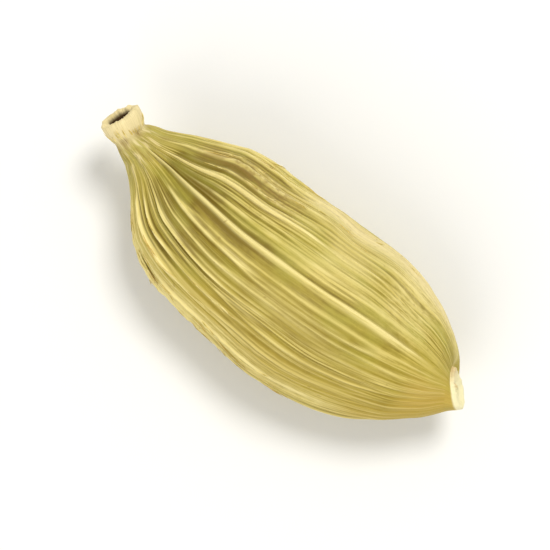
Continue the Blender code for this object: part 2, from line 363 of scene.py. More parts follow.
# Light from one side, given to the right and up in the picture: name, distance to that side, height,
# diameter, watts, colour
LIGHT_SIDE, SURROUNDINGS = (0.55, 0.85), 0.52
LIGHTS = (
    ("key", 0.22, 0.42, 0.16, 1.28, (1.0, 0.985, 0.95)),
    ("fill", -0.30, 0.30, 0.30, 0.60, (1.0, 0.98, 0.94)),
)


def ease(start, end, value):
    """0 before start, 1 after end, and smooth between them."""
    share = np.clip((value - start) / (end - start), 0.0, 1.0)
    return share * share * (3.0 - 2.0 * share)


def band(start, full, fade, end, value):
    """0 outside start and end, 1 between full and fade."""
    return ease(start, full, value) * (1.0 - ease(fade, end, value))


def bell(value, middle, width):
    """1 at the middle, falling off smoothly over the width."""
    return np.exp(-(((value - middle) / width) ** 2))


def turn_bell(angle, middle, width):
    """The same for angles, with the middle and the width in degrees."""
    off = (np.degrees(angle) - middle + 180.0) % 360.0 - 180.0
    return np.exp(-((off / width) ** 2))


def noise(along, around, seed, cells):
    """Smooth noise from -1 to 1 over two coordinates; the second repeats after so many cells."""
    along, around = np.broadcast_arrays(along, around)
    low = math.floor(along.min())
    rows = math.ceil(along.max()) - low + 3
    lattice = np.random.default_rng(seed).uniform(-1.0, 1.0, (rows, cells))
    i = np.floor(along).astype(int)
    j = np.floor(around).astype(int)
    a = along - i
    b = around - j
    a = a * a * (3.0 - 2.0 * a)
    b = b * b * (3.0 - 2.0 * b)
    i -= low
    j0, j1 = j % cells, (j + 1) % cells
    near = lattice[i, j0] * (1.0 - b) + lattice[i, j1] * b
    far = lattice[i + 1, j0] * (1.0 - b) + lattice[i + 1, j1] * b
    return near * (1.0 - a) + far * a


def noises(along, u, layers, seed=0):
    """Sum of layers of noise, each with its share, length, cells per rib step and seed."""
    return sum(
        share * noise(along / length, u * per_rib, seed + own_seed, round(RIB_COUNT * per_rib))
        for share, length, per_rib, own_seed in layers
    )


def along_noise(x, kind, rib):
    """Noise along the pod for one rib, from its share, length and first seed."""
    share, length, seed = kind
    return share * noise(x / length, np.zeros_like(x), seed + rib, 1)


def read_station(x, column):
    """Smooth curve through one column of the stations, and its slope."""
    places, values = STATIONS[:, X], STATIONS[:, column]
    order = np.arange(len(places))
    before, after = np.maximum(order - 1, 0), np.minimum(order + 1, order[-1])
    slopes = (values[after] - values[before]) / (places[after] - places[before])
    index = np.clip(np.searchsorted(places, x) - 1, 0, len(places) - 2)
    span = places[index + 1] - places[index]
    t = (x - places[index]) / span
    m0, m1 = slopes[index] * span, slopes[index + 1] * span
    low, high = values[index], values[index + 1]
    a = 2.0 * low - 2.0 * high + m0 + m1
    b = 3.0 * high - 3.0 * low - 2.0 * m0 - m1
    return ((a * t + b) * t + m0) * t + low, ((3.0 * a * t + 2.0 * b) * t + m0) / span


def frame_at(x):
    """Centre of the pod at each x, with the unit directions along it, towards +Y and up."""
    y, y_slope = read_station(x, Y)
    z, z_slope = read_station(x, Z)
    centre = np.stack([x, y, z], axis=-1)
    along = np.stack([np.ones_like(x), y_slope, z_slope], axis=-1)
    along /= np.linalg.norm(along, axis=-1, keepdims=True)
    side = np.cross((0.0, 0.0, 1.0), along)
    side /= np.linalg.norm(side, axis=-1, keepdims=True)
    return centre, along, side, np.cross(along, side)


def make_ribs():
    """Shift of each rib from its even place and its height, from the top ridge round the pod."""
    draw = random.Random(RIB_SEED)
    ribs = []
    for step in range(RIB_COUNT):
        shift = draw.uniform(-RIB_JITTER, RIB_JITTER)
        share = RIB_LEAST ** draw.random()
        place = (step + RIDGE_PLACE) % RIB_COUNT
        if place < len(UPPER_RIBS):
            shift, share = UPPER_RIBS[place]
        ribs.append((shift, RIB_HEIGHT * share))
    return np.array(ribs)


def rib_angle(step, x):
    """Angle round the pod of a place counted in rib steps from the top ridge."""
    even = 2.0 * math.pi * step / RIB_COUNT
    place, spread, turn = NECK_TURN
    turn = turn * bell(x, place, spread)
    place, spread, fan = NECK_FAN
    fan = fan * bell(x, place, spread)
    fan = fan * 2.0 * np.maximum(-np.sin(even), 0.0) * np.maximum(np.cos(even), 0.0)
    return RIDGE_ANGLE + even + turn + fan


def warped(u, shifts):
    """Even grid places moved with the ribs, so that every crest has a column of its own."""
    index = np.floor(u).astype(int)
    part = u - index
    return u + shifts[index % RIB_COUNT] * (1.0 - part) + shifts[(index + 1) % RIB_COUNT] * part


def from_rib(u, rib):
    """Signed distance round the pod from a rib, in rib steps."""
    return (u - rib + 0.5 * RIB_COUNT) % RIB_COUNT - 0.5 * RIB_COUNT


def length_share(height, x):
    """How much of a rib's height stands at x."""
    strength = height / RIB_HEIGHT
    start = RIB_START + RIB_DELAY * (1.0 - strength)
    eased = RIB_EASED_SHARE * max(strength, 1.0) ** 2
    share = band(start, start + RIB_RISE, RIB_FADE, RIB_END, x)
    return share * (1.0 - (1.0 - eased) * ease(RIB_EASE, RIB_EASED, x))


def calm(x, u):
    """Where the skin is even: between the top ridge and the -Y edge along the tip half."""
    return bell(from_rib(u, CALM_PLACE), 0.0, CALM_SPREAD) * ease(*CALM_STRETCH, x)


def spot(x, angle, place):
    """Soft-edged place on the skin."""
    share, middle, spread, *edges = place
    return share * turn_bell(angle, middle, spread) * band(*edges, x)


def spots(x, angle, places):
    return sum(spot(x, angle, place) for place in places)


def dark_valleys(x, angle):
    """The two smooth valleys beside the strong rib near the neck, with less fine relief and painted shade.
    """
    total = 0.0
    for middle, turn, spread, *edges in DARK_VALLEYS:
        middle = middle + turn * (x - VALLEY_X)
        total = total + turn_bell(angle, middle, spread) * band(*edges, x)
    return total


def stretch(start, end, edges, x):
    """1 on a stretch along the pod, with soft edges measured from its start and its end."""
    rise, full, fade, down = edges
    return band(start + rise, start + full, end + fade, end + down, x)


def rib_section(off, width, broad, x):
    """Height of a rib by the distance from its crest."""
    section = broad * np.exp(-((off / SWELL_WIDTH) ** 2))
    section = section + (1.0 - broad) * np.exp(-np.abs(off / width) ** CREST_SHARPNESS)
    trough = np.exp(-(((np.abs(off) - TROUGH_PLACE) / TROUGH_WIDTH) ** 2))
    return section - TROUGH_SHARE * (1.0 - TROUGH_LOSS * ease(*TROUGH_STRETCH, x)) * trough


def main_ribs(x, u, ribs):
    """Relief of the ribs that the solid has too, and how strongly each place is a crest."""
    relief = np.zeros(np.broadcast(x, u).shape)
    crest = np.zeros_like(relief)
    for rib, (_, height) in enumerate(ribs):
        strength = min(height / RIB_HEIGHT, 1.0)
        bold = ease(*BOLD_SHARES, height / RIB_HEIGHT)
        stands = length_share(height, x)
        place = (rib + RIDGE_PLACE) % RIB_COUNT
        paler = 0.0
        if place in RIB_STRETCHES:
            start, end, paler = RIB_STRETCHES[place]
            shown = stretch(start, end, STRETCH_EDGES, x)
            stands = stands * (RIB_OUTSIDE + (1.0 - RIB_OUTSIDE) * shown)
            paler = paler * stretch(start, end, PALER_EDGES, x)
        swell = sum(along_noise(x, kind, rib) for kind in RIB_SWELLS)
        swell = 1.0 + swell * (1.0 - BOLD_SWELL_LOSS * bold)
        sunk = ease(*SINK_RANGE, along_noise(x, RIB_SINKS, rib)) * ease(*SINK_STRETCH, x)
        left = 1.0 - sunk * (1.0 - SINK_SPARED * strength)
        off = from_rib(u, rib + along_noise(x, RIB_MEANDER, rib) * (1.0 - bold))
        width = CREST_WIDTH * (1.0 + along_noise(x, RIB_WIDTHS, rib)) * (1.0 - BOLD_WIDTH_LOSS * bold)
        broad = SWELL_SHARE * (1.0 - BOLD_BROAD_LOSS * bold)
        relief += height * swell * rib_section(off, width, broad, x) * stands * left
        # Crest lines are painted pale, partly the ribs' own paler colour and partly painted highlight,
        # beaded where they break.
        broken = sum((along_noise(x, kind, rib) for kind in CREST_BREAKS), CREST_LEVEL)
        broken = broken * (1.0 - bold) + BOLD_CREST * bold
        shown = (CREST_LEAST + (1.0 - CREST_LEAST) * strength) * broken * left
        shown = shown * np.minimum(stands * 2.0, 1.0)
        wide = CREST_MASK * (1.0 + PALER_WIDENING * paler)
        crest += (shown + paler) * np.exp(-((off / wide) ** 2))
    kept = 1.0 - CALM_RELIEF * calm(x, u)
    return relief * kept, crest * kept


def branch_veins(x, u):
    """Weaker veins: each leaves its rib, runs along beside it and comes back near the tip."""
    relief = np.zeros(np.broadcast(x, u).shape)
    crest = np.zeros_like(relief)
    draw = random.Random(VEIN_SEED)
    for rib in range(RIB_COUNT):
        for vein, offset in enumerate(VEIN_OFFSETS, VEIN_SEED_STEP * rib):
            offset += draw.uniform(-VEIN_JITTER, VEIN_JITTER)
            height = draw.uniform(VEIN_LEAST, VEIN_MOST) * (1.0 if rib else VEIN_RIDGE)
            start = draw.uniform(*VEIN_STARTS)
            end = draw.uniform(*VEIN_ENDS)
            back = VEIN_RETURN * ease(end + RETURN_START, end + RETURN_END, x)
            away = ease(start, start + VEIN_LEAVING, x) * (1.0 - back)
            off = from_rib(u, rib + offset * away + along_noise(x, VEIN_MEANDER, vein))
            swell = np.maximum(VEIN_LEVEL + along_noise(x, VEIN_SWELL, vein), 0.0)
            share = stretch(start, end, VEIN_EDGES, x)
            near = np.exp(-np.abs(off / VEIN_WIDTH) ** VEIN_SHARPNESS)
            relief += height * swell * share * near
            crest += height / VEIN_MOST * swell * share * near
    return relief, crest


def thin_lines(x, u):
    """Thin lines that run along, meet and part: near 1 on a line, 0 away from it."""
    lines = np.clip(1.0 - np.abs(noises(x, u, LINES)) / LINE_HALF_WIDTH, 0.0, 1.0)
    lines = lines * (LINE_AT_NECK + (1.0 - LINE_AT_NECK) * ease(*LINE_STRETCH, x))
    return lines * (LINE_LEVEL + noises(x, u, LINE_SHARES))


def straight_fibres(x, u):
    """Crisp fibres along the grid's columns, a few of them strong, each fading in and out."""
    strong = np.random.default_rng(FIBRE_SEED).uniform(0.0, 1.0, COLUMNS) ** FIBRE_POWER
    fibres = strong * np.clip(FIBRE_LEVEL + noises(x, u, FIBRE_SHARES), 0.0, 1.0)
    return FIBRE_OWN * fibres + FIBRE_BESIDE * (np.roll(fibres, 1, axis=1) + np.roll(fibres, -1, axis=1))


def dimples(x, angle):
    """Small hollows round the foot of the stalk, 1 at their middles."""
    total = 0.0
    for place in DIMPLE_ANGLES:
        shift = DIMPLE_SHIFT * math.sin(place)
        total = total + bell(x, GROOVE_X + shift, DIMPLE_LENGTH) * turn_bell(angle, place, DIMPLE_SPREAD)
    return total


def collar(x, angle):
    """Relief of the stalk's collar and of the groove at its foot."""
    raised = COLLAR_HEIGHT * bell(x, COLLAR_X, COLLAR_LENGTH) * (1.0 - ease(*COLLAR_FADE, x))
    share, swing, waves, phase = GROOVE_WAVE
    deep = GROOVE_DEPTH * bell(x, GROOVE_X, GROOVE_LENGTH)
    groove = deep * (share + swing * np.sin(waves * angle + phase))
    return raised - groove - DIMPLE_DEPTH * dimples(x, angle)


def wrinkle_relief(x, u, angle):
    """Fine wrinkles, deeper in patches and on the wrinkled side."""
    soft = spot(x, angle, HIGHLIGHT_PATCH)
    patch = ease(*PATCH_RANGE, noises(x, u, PATCHES)) * (1.0 - soft)
    everywhere, on_soft, in_patches, on_side = WRINKLE_SHARES
    share = everywhere + on_soft * soft + in_patches * patch
    share = share + on_side * spot(x, angle, WRINKLED_SIDE)
    return WRINKLE_HEIGHT * noises(x, u, CREASES) * share * band(*LIVELY_BAND, x)


def lump_relief(x, u, angle):
    """Soft dents and swellings, with the pinch and bulge of the +Y edge."""
    turn = 2.0 * math.pi * x / LUMP_LENGTH
    wave = sum(
        share * np.sin(along * turn + around * angle + phase)
        for share, along, around, phase in LUMP_WAVES
    )
    lumps = (LUMP_HEIGHT * wave + DENT_HEIGHT * noises(x, u, DENTS)) * band(*BODY_BAND, x)
    for place, middle, length, spread, height in EDGE_LUMPS:
        lumps = lumps + height * bell(x, place, length) * turn_bell(angle, middle, spread)
    return lumps


def skin_relief(x, u, angle, ribs):
    """Height of the skin over the smooth body, its fine part and its crests."""
    ribbed, crest = main_ribs(x, u, ribs)
    veined, vein = branch_veins(x, u)
    lively = band(*LIVELY_BAND, x)
    lines = thin_lines(x, u)
    fibres = straight_fibres(x, u)
    at_neck = FIBRE_AT_NECK - (FIBRE_AT_NECK - 1.0) * ease(*FIBRE_STRETCH, x)
    striae = lively * (noises(x, u, STREAKS) + LINE_HEIGHT * lines)
    striae = striae + FIBRE_HEIGHT * fibres * band(*FIBRE_BAND, x) * at_neck
    rough = 1.0 - VALLEY_LOSS * dark_valleys(x, angle)
    striae = striae * rough
    veined = veined * rough

    wrinkles = wrinkle_relief(x, u, angle)
    fray = crest * spot(x, angle, FRAYED_SIDE) * FRAY_HEIGHT * noises(x, u, FRAYS)
    flutes = FLUTE_HEIGHT * band(*FLUTE_BAND, x) * noises(x, u, FLUTES)
    belly = 1.0 - (1.0 - SPOT_RIB_SHARE) * turn_bell(angle, SPOT_ANGLE, SPOT_SPREAD)
    relief = (ribbed + veined + striae) * belly + flutes + lump_relief(x, u, angle) + wrinkles + fray
    relief = relief + collar(x, angle)
    fine = ribbed + veined + striae + WRINKLE_SHADE * wrinkles + fray
    crest = crest + (VEIN_CREST * vein + LINE_CREST * lively * lines + FIBRE_CREST * fibres) * rough
    return relief, fine, crest


def body_points(x, u, ribs):
    """Points of the ribbed body, row by row, with their angles, fine relief and crests."""
    angle = rib_angle(warped(u, ribs[:, 0]), x)
    radius, _ = read_station(x, RADIUS)
    pull = 1.0 + CORNER_SHARE * band(*BODY_BAND, x) * np.cos(3.0 * (angle - 0.5 * math.pi))
    relief, fine, crest = skin_relief(x, u, angle, ribs)
    reach = radius * pull + relief
    centre, _, side, up = frame_at(x[:, 0])
    across = (reach * np.cos(angle))[..., None] * side[:, None, :]
    lift = (reach * HEIGHT_SHARE * np.sin(angle))[..., None] * up[:, None, :]
    return centre[:, None, :] + across + lift, angle, fine, crest


def profile_rows(profile, rows):
    """Evenly spread rows along a turned profile of (out, radius) points."""
    points = np.array(profile)
    steps = np.linalg.norm(np.diff(points, axis=0), axis=1)
    run = np.concatenate([[0.0], np.cumsum(steps)])
    places = np.linspace(0.0, run[-1], rows)
    return np.interp(places, run, points[:, 0]), np.interp(places, run, points[:, 1])


def end_points(x, outs, radii, u, ribs, rough, seed, turn=0.0, shift=0.0, share=1.0):
    """Rings moved out from x, shifted and turned towards +Y by their shares, out of round and rough."""
    angle = rib_angle(warped(u, ribs[:, 0]), np.full((1, 1), x))
    centre, along, side, up = (value[0] for value in frame_at(np.array([x])))
    share = np.broadcast_to(share, outs.shape)[:, None, None]
    centre = centre + side * shift * share
    along = along * np.cos(turn * share) + side * np.sin(turn * share)
    side = np.cross(up, along)
    wave = sum(part * np.sin(around * angle + phase) for part, around, phase in END_WAVES) * share[..., 0]
    row = np.arange(len(outs))[:, None]
    ragged = rough[:, None] * noises(row, u, END_LAYERS, seed)
    out = outs[:, None] + ragged
    reach = radii[:, None] * (1.0 + wave) + END_REACH * ragged
    points = centre + out[..., None] * along + (reach * np.cos(angle))[..., None] * side
    return points + (reach * HEIGHT_SHARE * np.sin(angle))[..., None] * up


def row_places():
    """X of each body row: closer together towards the two ends."""
    even = np.linspace(-1.0, 1.0, BODY_ROWS)
    crowded = np.sin(0.5 * math.pi * even)
    middle, half = 0.5 * (FIRST_X + LAST_X), 0.5 * (LAST_X - FIRST_X)
    return middle + half * (EVEN_ROWS * even + (1.0 - EVEN_ROWS) * crowded)


def blurred(values, columns):
    """Mean of each row's neighbours round the pod."""
    total = sum(np.roll(values, shift, axis=1) for shift in range(-columns, columns + 1))
    return total / (2 * columns + 1)


def with_round_foot(points, row):
    """The grid with the rows about one row drawn together, most at that row."""
    points = points.copy()
    rows = np.arange(row - FOOT_ROWS + 1, row + FOOT_ROWS)
    share = 0.5 * (1.0 - ((rows - row) / FOOT_ROWS)[:, None, None] ** 2)
    for _ in range(FOOT_ROUNDS):
        middle = 0.5 * (points[rows - 1] + points[rows + 1])
        points[rows] += (middle - points[rows]) * share
    return points


def cavities(x, u, angle, fine):
    """How far each place stands out of the skin beside it: below 0 in the valleys."""
    total = sum((fine - blurred(fine, columns)) / height for columns, height in CAVITY_SIZES)
    total = total * (1.0 - CALM_CONTRAST * calm(x, u))
    even = spot(x, angle, EVEN_SIDE) * (1.0 + ease(*EVEN_STRETCH, x))
    return total * (1.0 - EVEN_LOSS * even)


def body_masks(x, u, angle, fine, crest):
    """Masks that the material reads, over the body."""
    # Brown painted shade in the dimples at the stalk's foot and on the wrinkled shoulder.
    brown_shade = DIMPLE_SHADE * dimples(x, angle) + WRINKLED_SIDE_SHADE * spot(x, angle, WRINKLED_SIDE)
    pale = spots(x, angle, PALE_EDGES) + spot(x, angle, PALE_TIP_SIDE)
    pale = pale + FRAYED_PALE * spot(x, angle, FRAYED_SIDE)
    # Painted shade round the neck, in places and in the dark valleys; where it is below 0 it is painted
    # light.
    painted_shade = NECK_PAINTED_SHADE * band(*NECK_PAINTED_SHADE_BAND, x) + spots(x, angle, PAINTED_SHADE_PLACES)
    return {
        "crest": np.clip(crest, 0.0, 1.0),
        "cavity": np.clip(0.5 + 0.5 * cavities(x, u, angle, fine), 0.0, 1.0),
        "cream": 1.0 - ease(*CREAM_FADE, x) + spot(x, angle, CREAM_RIM),
        "neck": 1.0 - ease(*NECK_FADE, x),
        "hollow": 0.0, "scar": 0.0, "face": 0.0,
        "brown_shade": np.clip(brown_shade, 0.0, 1.0),
        "painted_shade": painted_shade + VALLEY_PAINTED_SHADE * dark_valleys(x, angle),
        # Where the patch of painted highlight lies.
        "soft": spot(x, angle, HIGHLIGHT_PATCH),
        "warm": spot(x, angle, WARM_SIDE),
        "blush": spots(x, angle, BLUSHING_PLACES),
        "pale": np.clip(pale, 0.0, 1.0),
    }


def stalk_masks(outs):
    """The masks that aren't 0 on the hollow cut end."""
    return {"cavity": 0.6, "cream": 1.0, "neck": 1.0, "hollow": ease(*HOLLOW_DEPTHS, outs)}


def scar_masks(tops, x, angle):
    """The same on the scar, with x and angle of the body's last row."""
    return {
        "cavity": 0.5,
        "scar": ease(*PALE_HEIGHTS, tops),
        "face": turn_bell(angle, FACE_ANGLE, FACE_SPREAD) * ease(*FACE_HEIGHTS, tops),
        "blush": spots(x, angle, BLUSHING_PLACES) * (1.0 - ease(*BLUSH_HEIGHTS, tops)),
        "pale": np.clip(spots(x, angle, PALE_EDGES), 0.0, 1.0),
    }


def stalk_rings(u, ribs):
    """Depths and rings of the hollow cut end, from its floor out over the rim."""
    outs, radii = profile_rows(STALK_PROFILE, STALK_ROWS)
    outs, radii = outs[:0:-1], radii[:0:-1]
    rough = STALK_RAGGED * bell(outs, STALK_RIM, RIM_LENGTH)
    return outs, end_points(FIRST_X, outs, radii, u, ribs, rough, STALK_SEED)


def scar_rings(u, ribs):
    """Heights and rings of the scar, from its foot in over the rim."""
    tops, radii = profile_rows(SCAR_PROFILE, SCAR_ROWS)
    tops, radii = tops[1:], radii[1:]
    rough = SCAR_RAGGED * ease(*RAGGED_HEIGHTS, tops)
    turned = ease(*SCAR_TURNED, tops)
    turned[np.argmax(tops):] = 1.0
    return tops, end_points(LAST_X, tops, radii, u, ribs, rough, SCAR_SEED, SCAR_TURN, SCAR_SHIFT, turned)


def stacked(parts, counts):
    """One grid of the values of the stalk, the body and the scar, with so many rows each."""
    return np.concatenate([np.broadcast_to(part, (count, COLUMNS)) for part, count in zip(parts, counts)])


def build_skin():
    """Grid of points over the whole pod, with the masks that the material reads."""
    ribs = make_ribs()
    u = (np.arange(COLUMNS) / RIB_COLUMNS)[None, :]
    x = row_places()[:, None]
    outs, stalk = stalk_rings(u, ribs)
    body, angle, fine, crest = body_points(x, u, ribs)
    tops, scar = scar_rings(u, ribs)
    points = with_round_foot(np.concatenate([stalk, body, scar]), len(stalk) + len(body))

    counts = (len(stalk), len(body), len(scar))
    on_stalk = stalk_masks(outs[:, None])
    on_scar = scar_masks(tops[:, None], x[-1:], angle[-1:])
    masks = {}
    for name, values in body_masks(x, u, angle, fine, crest).items():
        masks[name] = stacked((on_stalk.get(name, 0.0), values, on_scar.get(name, 0.0)), counts)

    along = np.concatenate([FIRST_X + outs, x[:, 0], LAST_X + tops])
    even = 2.0 * math.pi * u / RIB_COUNT
    around = (GRAIN_RADIUS * np.cos(even), GRAIN_RADIUS * np.sin(even))
    grain = np.stack(np.broadcast_arrays(along[:, None], *around), axis=-1)
    return points, masks, grain, along, stacked((angle[0], angle, angle[-1]), counts)


def fitted(points, low, high):
    """The points brought into the solid's box, with the flat spot pressed at its floor."""
    floor = points[..., Z].min() + SPOT_DEPTH
    points = points.copy()
    points[..., Z] = np.maximum(points[..., Z], floor)
    least = points.reshape(-1, 3).min(axis=0)
    most = points.reshape(-1, 3).max(axis=0)
    return low + (points - least) * (high - low) / (most - least)


def add_object(name, data):
    piece = bpy.data.objects.new(name, data)
    bpy.context.scene.collection.objects.link(piece)
    return piece


def make_mesh(name, points, masks, grain):
    """Closed mesh over a grid of rings, with a fan over each end."""
    rows, columns = points.shape[:2]
    middles = [points[0].mean(axis=0), points[-1].mean(axis=0)]
    coordinates = np.concatenate([points.reshape(-1, 3), middles])
    index = np.arange(rows * columns).reshape(rows, columns)
    beside = np.roll(index, -1, axis=1)
    quads = np.stack([index[:-1], index[1:], beside[1:], beside[:-1]], axis=-1).reshape(-1, 4)
    first, last = rows * columns, rows * columns + 1
    faces = quads.tolist()
    faces += [(first, a, b) for a, b in zip(index[0].tolist(), beside[0].tolist())]
    faces += [(last, b, a) for a, b in zip(index[-1].tolist(), beside[-1].tolist())]
    data = bpy.data.meshes.new(name)
    data.from_pydata(coordinates.tolist(), [], faces)
    for mask, values in masks.items():
        values = np.concatenate([values.reshape(-1), [values[0, 0], values[-1, 0]]]).astype(np.float32)
        data.attributes.new(mask, "FLOAT", "POINT").data.foreach_set("value", values)
    grain = grain.reshape(-1, 3)
    grain = np.concatenate([grain, grain[:1], grain[-1:]]).astype(np.float32)
    data.attributes.new("grain", "FLOAT_VECTOR", "POINT").data.foreach_set("vector", grain.reshape(-1))
    data.update()
    data.shade_smooth()
    return add_object(name, data)


def display(red, green, blue):
    """Linear colour of a display colour given from 0 to 255."""
    shares = (value / 255.0 for value in (red, green, blue))
    return tuple(v / 12.92 if v <= 0.04045 else ((v + 0.055) / 1.055) ** 2.4 for v in shares) + (1.0,)


# The two darkest skin colours are painted shade in the valleys; CREST is partly the crests' own pale straw
# and partly painted highlight.
VALLEY_SHADE = display(118, 98, 22)
SHADE = display(160, 142, 50)
FLAT = display(197, 177, 82)
CREST = display(243, 226, 152)
GREEN = display(172, 169, 66)
NECK = display(184, 173, 98)
TAN = display(204, 170, 80)
OCHRE = display(196, 166, 52)
CREAM = display(244, 226, 172)
SCAR = display(254, 246, 200)
# Brown of the stains and specks, also used as painted shade in the dimples and on the wrinkled side.
STAIN_AND_SHADE = display(146, 118, 56)
FACE = display(226, 196, 138)
# The brown inside of the stalk's hollow, darkened further with painted shade.
HOLLOW_BROWN_AND_SHADE = display(72, 50, 20)

# Noises of the grain: scale along the pod, scale round it, detail, roughness
GRAIN_NOISES = {
    "streaks": (0.30, 4.6, 3.0, 0.55),
    "fibres": (0.50, 11.0, 3.0, 0.65),
    "blotches": (0.45, 0.7, 2.0, 0.5),
    "flecks": (2.4, 6.5, 2.0, 0.6),
    "patches": (0.9, 1.3, 2.0, 0.5),
    "specks": (3.0, 3.6, 1.0, 0.5),
}

# Light and dark of the skin, painted shade in the valleys and painted highlight on the crests: how far
# each noise swings it, what the painted shade mask takes off, and the colours from the valleys up, each
# with the levels between which it comes in
LEVEL_SWINGS = (("streaks", 0.16), ("fibres", 0.50), ("flecks", 0.16))
LEVEL_PAINTED_SHADE = 0.20
LEVEL_COLOURS = ((0.12, 0.42, SHADE), (0.36, 0.58, FLAT), (0.66, 1.10, CREST))

# Colours laid over that in turn: mask or none, a noise and two values of it, the share of the colour
# at each of them, the colour
COATS = (
    (None, "blotches", 0.42, 0.70, 0.0, 0.38, GREEN),
    ("warm", "blotches", 0.3, 0.7, 0.32, 0.58, OCHRE),
    ("blush", "streaks", 0.2, 0.7, 0.8, 0.4, TAN),
    ("neck", "streaks", 0.3, 0.7, 0.85, 0.15, NECK),
    ("neck", "patches", 0.52, 0.66, 0.0, 0.60, CREAM),
    ("neck", "patches", 0.44, 0.32, 0.0, 0.60, STAIN_AND_SHADE),
    # Pale crests: partly their own colour, partly painted highlight.
    ("crest", "fibres", 0.28, 0.52, 0.55, 1.0, CREST),
    ("pale", "flecks", 0.34, 0.66, 0.22, 0.66, CREST),
    # Painted highlight on the soft patch.
    ("soft", "streaks", 0.30, 0.65, 0.20, 0.50, CREST),
    ("cream", "fibres", 0.32, 0.55, 0.60, 0.98, CREAM),
    # Painted shade in the dimples and on the wrinkled side.
    ("brown_shade", "flecks", 0.62, 0.40, 0.25, 0.85, STAIN_AND_SHADE),
    (None, "specks", 0.72, 0.80, 0.0, 0.35, STAIN_AND_SHADE),
)
SCAR_SHARE = 0.92
FACE_COAT = ("face", "flecks", 0.35, 0.65, 0.5, 0.95, FACE)

# Roughness between two values of the streaks, specular level, strength and depth of the bumps
SKIN_ROUGHNESS, SKIN_SPECULAR = (0.3, 0.7, 0.66, 0.50), 0.20
SKIN_BUMP, SKIN_BUMP_FLECKS = (0.7, 0.045 * MM), 0.6
HUSK_ROUGHNESS, HUSK_SPECULAR = (0.3, 0.7, 0.72, 0.55), 0.3
HUSK_BUMP = (0.6, 0.01 * MM)


class Nodes:
    """Building of a material's node tree."""

    def __init__(self, material):
        material.use_nodes = True
        self.tree = material.node_tree
        self.shader = self.tree.nodes["Principled BSDF"]

    def add(self, kind, **settings):
        node = self.tree.nodes.new(kind)
        for name, value in settings.items():
            setattr(node, name, value)
        return node

    def put(self, target, value):
        """Links a socket, or sets a plain value."""
        if isinstance(value, bpy.types.NodeSocket):
            self.tree.links.new(value, target)
        else:
            target.default_value = value

    def set_all(self, node, values):
        for name, value in values.items():
            self.put(node.inputs[name], value)

    def mask(self, name, output="Fac"):
        return self.add("ShaderNodeAttribute", attribute_name=name).outputs[output]

    def math(self, operation, a, b=0.0):
        node = self.add("ShaderNodeMath", operation=operation)
        self.put(node.inputs[0], a)
        self.put(node.inputs[1], b)
        return node.outputs[0]

    def remap(self, value, low, high, to_low=0.0, to_high=1.0):
        node = self.add("ShaderNodeMapRange", interpolation_type="SMOOTHSTEP")
        self.set_all(node, {
            "Value": value, "From Min": low, "From Max": high, "To Min": to_low, "To Max": to_high,
        })
        return node.outputs["Result"]

    def mix(self, share, a, b):
        node = self.add("ShaderNodeMix", data_type="RGBA")
        self.put(node.inputs["Factor"], share)
        colours = [socket for socket in node.inputs if socket.type == "RGBA"]
        self.put(colours[0], a)
        self.put(colours[1], b)
        return [socket for socket in node.outputs if socket.type == "RGBA"][0]

    def noise(self, vector, scales, detail=2.0, roughness=0.5):
        """Noise stretched along and round the pod, from 0 to 1."""
        stretched = self.add("ShaderNodeVectorMath", operation="MULTIPLY")
        self.put(stretched.inputs[0], vector)
        stretched.inputs[1].default_value = scales
        node = self.add("ShaderNodeTexNoise")
        self.set_all(node, {
            "Vector": stretched.outputs["Vector"], "Scale": 1.0, "Detail": detail, "Roughness": roughness,
        })
        return node.outputs["Fac"]

    def about(self, value, share):
        """A noise value turned into a swing about zero."""
        return self.math("MULTIPLY", self.math("SUBTRACT", value, 0.5), share)

    def finish(self, colour, roughness, specular, height, bump):
        """Sets the shader's colour, roughness, specular level and bumps."""
        strength, depth = bump
        node = self.add("ShaderNodeBump")
        self.set_all(node, {"Strength": strength, "Distance": depth, "Height": height})
        self.set_all(self.shader, {
            "Base Color": colour, "Roughness": roughness,
            "Specular IOR Level": specular, "Normal": node.outputs["Normal"],
        })


def coated(nodes, grains, colour, coat):
    """One more colour over the last, where its mask and its noise show it."""
    mask, kind, low, high, to_low, to_high, tint = coat
    share = nodes.remap(grains[kind], low, high, to_low, to_high)
    if mask:
        share = nodes.math("MULTIPLY", nodes.mask(mask), share)
    return nodes.mix(share, colour, tint)


